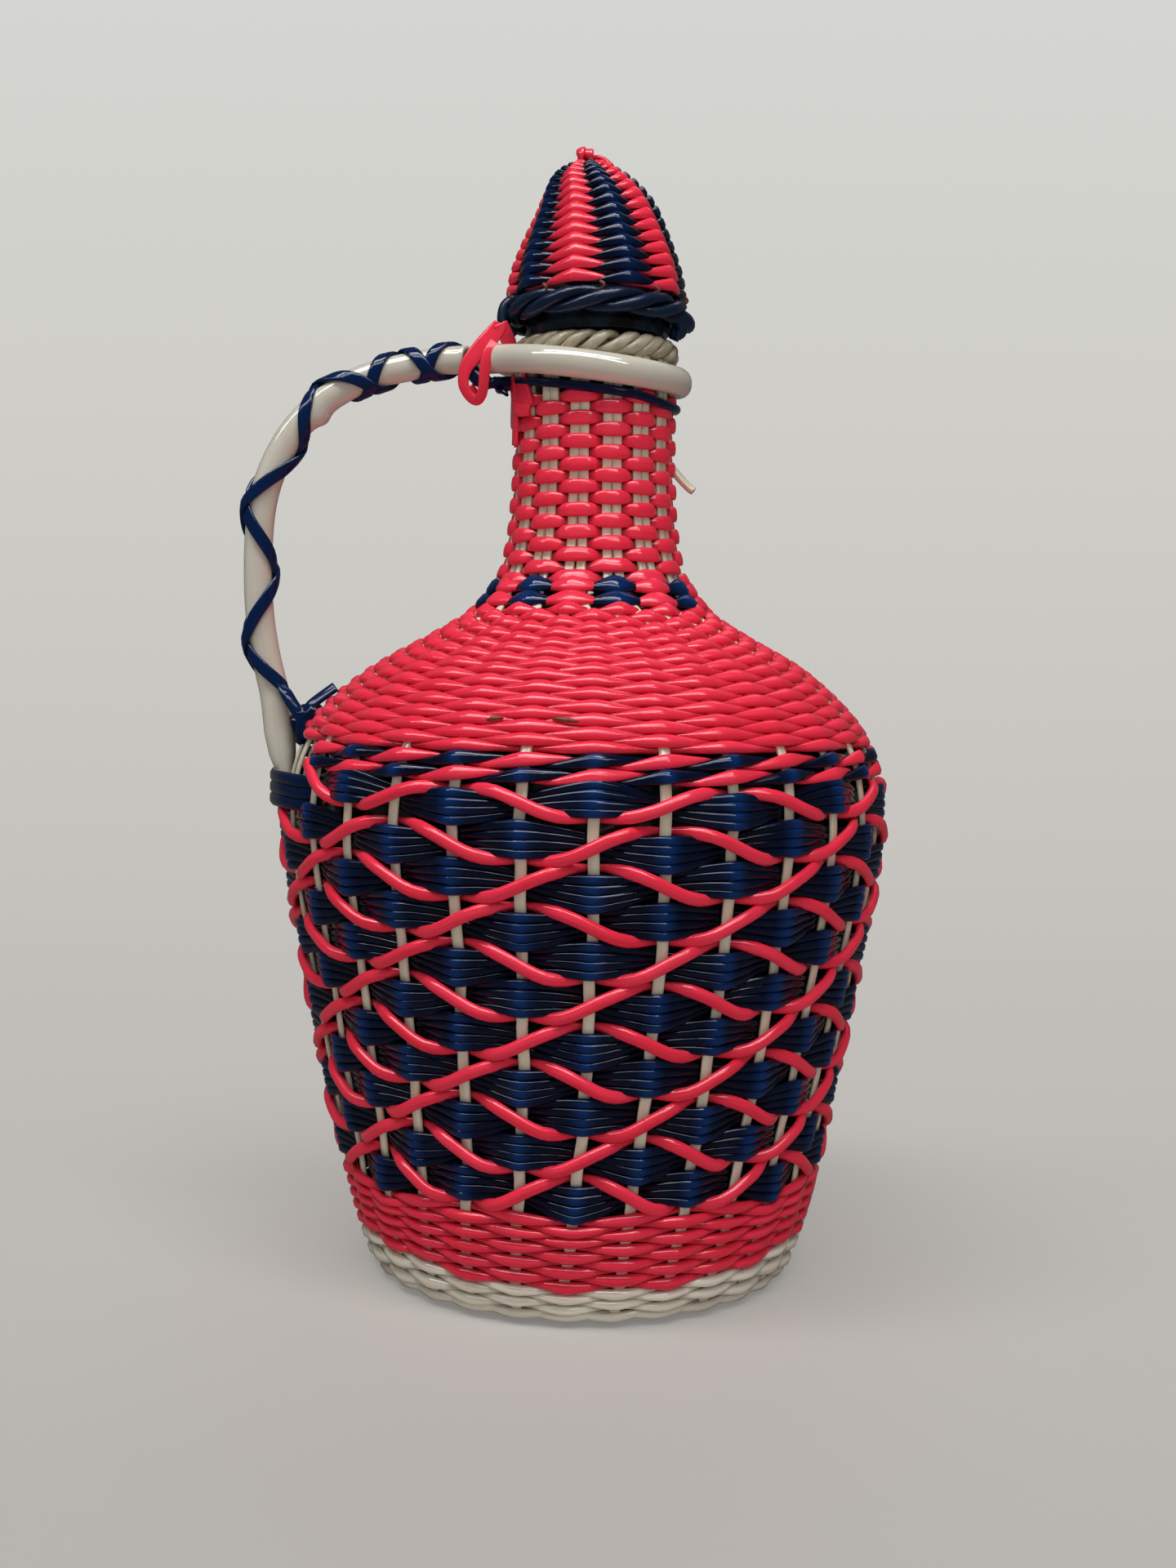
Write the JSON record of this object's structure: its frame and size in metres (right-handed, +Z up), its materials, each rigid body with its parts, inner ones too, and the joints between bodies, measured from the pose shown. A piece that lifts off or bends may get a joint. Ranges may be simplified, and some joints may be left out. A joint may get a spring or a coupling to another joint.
{
  "type": "carafe",
  "caption": "Glass wine carafe dressed in woven plastic cord, with a tube handle looped round the neck and a woven stopper that lifts out.",
  "frame": {"origin": "bottle axis, on the surface that the base stands on", "axes": "+Z up along the bottle axis, handle on the -X side, -Y towards the front of the picture"},
  "size_m": [0.1619, 0.1475, 0.2786],
  "materials": {
    "coral_cord": "glossy coral plastic cord",
    "navy_cord": "glossy dark navy plastic cord, a little translucent",
    "cream_cord": "cream plastic cord",
    "braid_cord": "worn cream plastic cord",
    "handle_plastic": "off-white plastic tube",
    "stopper_cork": "dark cork",
    "bottle_glass": "green bottle glass"
  },
  "bodies": {
    "bottle": {"base_mat": "cream_cord", "base_border": "cream_cord", "glass_bottle": "bottle_glass", "lower_weave": "coral_cord", "belly_weave": "navy_cord", "accent_rows": "navy_cord", "shoulder_weave": "coral_cord", "neck_accent": "navy_cord", "neck_weave": "coral_cord", "neck_braid": "braid_cord", "handle_tube": "handle_plastic", "handle_winding": "navy_cord", "handle_tie": "coral_cord", "foot_binding": "navy_cord", "winding_knot": "navy_cord", "neck_cord": "navy_cord", "stake_end": "cream_cord", "stake_01": "cream_cord", "stake_02": "cream_cord", "stake_03": "cream_cord", "stake_04": "cream_cord", "stake_05": "cream_cord", "stake_06": "cream_cord", "stake_07": "cream_cord", "stake_08": "cream_cord", "stake_09": "cream_cord", "stake_10": "cream_cord", "stake_11": "cream_cord", "stake_12": "cream_cord", "stake_13": "cream_cord", "stake_14": "cream_cord", "stake_15": "cream_cord", "stake_16": "cream_cord", "stake_17": "cream_cord", "stake_18": "cream_cord", "stake_19": "cream_cord", "stake_20": "cream_cord", "stake_21": "cream_cord", "stake_22": "cream_cord", "stake_23": "cream_cord", "stake_24": "cream_cord", "stake_25": "cream_cord", "stake_26": "cream_cord", "stake_27": "cream_cord", "stake_28": "cream_cord", "stake_29": "cream_cord"},
    "stopper": {"stopper_plug": "stopper_cork", "stopper_head": "stopper_cork", "cap_border": "navy_cord", "cap_weave": "coral_cord", "cap_knot": "coral_cord"}
  },
  "joints": [
    {"name": "stopper_lift", "type": "slide", "parent": "bottle", "child": "stopper", "axis": [0, 0, 1], "range_m": [0, 0.045]}
  ]
}
